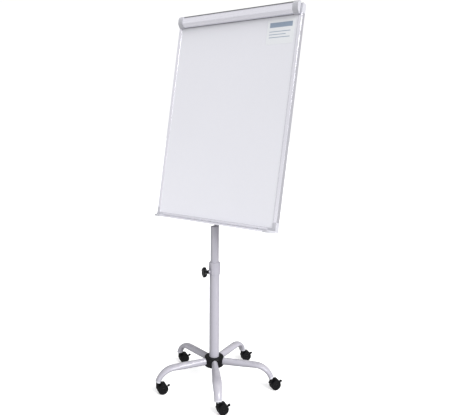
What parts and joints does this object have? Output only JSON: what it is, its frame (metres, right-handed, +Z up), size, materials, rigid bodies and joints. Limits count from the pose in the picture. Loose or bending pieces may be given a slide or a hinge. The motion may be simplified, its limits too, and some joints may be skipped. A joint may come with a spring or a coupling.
{
  "type": "mobile flip chart easel",
  "caption": "Framed writing board with a paper clamp and a pen tray, leaning on a telescopic column with a star base on castors.",
  "frame": {"origin": "on the floor, on the column's axis", "axes": "+Z up along the column, +X to the right of someone facing the board, -Y towards that person"},
  "size_m": [0.7012, 0.602, 1.8136],
  "materials": {
    "grey_paint": "satin",
    "zinc_steel": "satin",
    "black_plastic": "matte",
    "black_tread": "matte",
    "grey_plastic": "satin",
    "aluminium": "satin anodised",
    "white_lacquer": "gloss",
    "fibreboard": "raw",
    "black_rubber": "matte"
  },
  "bodies": {
    "base": {"hub_core": "zinc_steel", "hub_cover": "black_plastic", "hub_cap": "black_plastic", "hub_bolt": "zinc_steel", "leg_1": "grey_paint", "leg_2": "grey_paint", "leg_3": "grey_paint", "leg_4": "grey_paint", "leg_5": "grey_paint", "leg_plugs": "grey_plastic", "castor_stems": "zinc_steel", "lower_tube": "grey_paint", "guide_bush": "grey_plastic", "collar": "grey_paint"},
    "height_knob": {"height_knob": "black_plastic", "height_screw": "zinc_steel"},
    "castor_1": {"castor_hood_1": "black_plastic"},
    "wheels_1": {"castor_wheels_1": "black_tread"},
    "brake_1": {"castor_brake_1": "black_plastic"},
    "castor_2": {"castor_hood_2": "black_plastic"},
    "wheels_2": {"castor_wheels_2": "black_tread"},
    "brake_2": {"castor_brake_2": "black_plastic"},
    "castor_3": {"castor_hood_3": "black_plastic"},
    "wheels_3": {"castor_wheels_3": "black_tread"},
    "brake_3": {"castor_brake_3": "black_plastic"},
    "castor_4": {"castor_hood_4": "black_plastic"},
    "wheels_4": {"castor_wheels_4": "black_tread"},
    "brake_4": {"castor_brake_4": "black_plastic"},
    "castor_5": {"castor_hood_5": "black_plastic"},
    "wheels_5": {"castor_wheels_5": "black_tread"},
    "brake_5": {"castor_brake_5": "black_plastic"},
    "mast_slide": {"mast_foot": "black_plastic"},
    "mast": {"upper_tube": "grey_paint", "mast_head": "grey_paint"},
    "board": {"tilt_bracket": "grey_paint", "tilt_bolt": "zinc_steel", "bracket_screws": "zinc_steel", "spine": "aluminium", "board_face": "white_lacquer", "board_core": "fibreboard", "back_sheet": "aluminium", "rail_top": "aluminium", "rail_bottom": "aluminium", "rail_left": "aluminium", "rail_right": "aluminium", "top_corners": "grey_plastic", "bottom_corners": "grey_plastic", "tray": "aluminium", "tray_caps": "grey_plastic", "tray_screws": "zinc_steel", "hook_rail": "aluminium", "clamp_brackets": "aluminium"},
    "tilt_knob": {"tilt_knob": "black_plastic"},
    "clamp": {"clamp_rail": "aluminium", "clamp_lip": "aluminium", "clamp_caps": "grey_plastic", "clamp_strip": "black_rubber", "clamp_rod": "zinc_steel"},
    "hook_left": {"hook_left": "black_plastic"},
    "hook_right": {"hook_right": "black_plastic"}
  },
  "joints": [
    {"name": "height_slide", "type": "slide", "parent": "base", "child": "mast_slide", "axis": [0, 0, 1], "range_m": [-0.16, 0.19]},
    {"name": "mast_swivel", "type": "hinge", "parent": "mast_slide", "child": "mast", "pos_m": [0, 0, 0.33], "axis": [0, 0, 1], "continuous": true},
    {"name": "board_tilt", "type": "hinge", "parent": "mast", "child": "board", "pos_m": [0, 0.0203, 0.84502], "axis": [1, 0, 0], "range_deg": [-9, 11]},
    {"name": "tilt_knob_turn", "type": "hinge", "parent": "board", "child": "tilt_knob", "pos_m": [0.02, 0.0203, 0.84502], "axis": [1, 0, 0], "continuous": true},
    {"name": "height_knob_turn", "type": "hinge", "parent": "base", "child": "height_knob", "pos_m": [-0.02294, -0.03277, 0.579], "axis": [-0.5736, -0.8192, 0], "continuous": true},
    {"name": "clamp_lift", "type": "hinge", "parent": "board", "child": "clamp", "pos_m": [0, 0.15807, 1.80537], "axis": [1, 0, 0], "range_deg": [-60, 0]},
    {"name": "hook_left_slide", "type": "slide", "parent": "board", "child": "hook_left", "axis": [1, 0, 0], "range_m": [-0.16, 0.13]},
    {"name": "hook_right_slide", "type": "slide", "parent": "board", "child": "hook_right", "axis": [1, 0, 0], "range_m": [-0.13, 0.16]},
    {"name": "castor_swivel_1", "type": "hinge", "parent": "base", "child": "castor_1", "pos_m": [0.18895, -0.21736, 0.045], "axis": [0, 0, 1], "continuous": true},
    {"name": "wheel_spin_1", "type": "hinge", "parent": "castor_1", "child": "wheels_1", "pos_m": [0.2002, -0.19787, 0.025], "axis": [-0.866, 0.5, 0], "continuous": true},
    {"name": "brake_press_1", "type": "hinge", "parent": "castor_1", "child": "brake_1", "pos_m": [0.20869, -0.18315, 0.032], "axis": [-0.866, 0.5, 0], "range_deg": [0, 14]},
    {"name": "castor_swivel_2", "type": "hinge", "parent": "base", "child": "castor_2", "pos_m": [0.2651, 0.11253, 0.045], "axis": [0, 0, 1], "continuous": true},
    {"name": "wheel_spin_2", "type": "hinge", "parent": "castor_2", "child": "wheels_2", "pos_m": [0.27636, 0.13202, 0.025], "axis": [-0.866, 0.5, 0], "continuous": true},
    {"name": "brake_press_2", "type": "hinge", "parent": "castor_2", "child": "brake_2", "pos_m": [0.28486, 0.14674, 0.032], "axis": [-0.866, 0.5, 0], "range_deg": [0, 14]},
    {"name": "castor_swivel_3", "type": "hinge", "parent": "base", "child": "castor_3", "pos_m": [-0.0251, 0.2869, 0.045], "axis": [0, 0, 1], "continuous": true},
    {"name": "wheel_spin_3", "type": "hinge", "parent": "castor_3", "child": "wheels_3", "pos_m": [-0.01385, 0.30639, 0.025], "axis": [-0.866, 0.5, 0], "continuous": true},
    {"name": "brake_press_3", "type": "hinge", "parent": "castor_3", "child": "brake_3", "pos_m": [-0.00535, 0.32111, 0.032], "axis": [-0.866, 0.5, 0], "range_deg": [0, 14]},
    {"name": "castor_swivel_4", "type": "hinge", "parent": "base", "child": "castor_4", "pos_m": [-0.28062, 0.06479, 0.045], "axis": [0, 0, 1], "continuous": true},
    {"name": "wheel_spin_4", "type": "hinge", "parent": "castor_4", "child": "wheels_4", "pos_m": [-0.26937, 0.08427, 0.025], "axis": [-0.866, 0.5, 0], "continuous": true},
    {"name": "brake_press_4", "type": "hinge", "parent": "castor_4", "child": "brake_4", "pos_m": [-0.26087, 0.09899, 0.032], "axis": [-0.866, 0.5, 0], "range_deg": [0, 14]},
    {"name": "castor_swivel_5", "type": "hinge", "parent": "base", "child": "castor_5", "pos_m": [-0.14833, -0.24686, 0.045], "axis": [0, 0, 1], "continuous": true},
    {"name": "wheel_spin_5", "type": "hinge", "parent": "castor_5", "child": "wheels_5", "pos_m": [-0.13708, -0.22738, 0.025], "axis": [-0.866, 0.5, 0], "continuous": true},
    {"name": "brake_press_5", "type": "hinge", "parent": "castor_5", "child": "brake_5", "pos_m": [-0.12858, -0.21266, 0.032], "axis": [-0.866, 0.5, 0], "range_deg": [0, 14]}
  ]
}
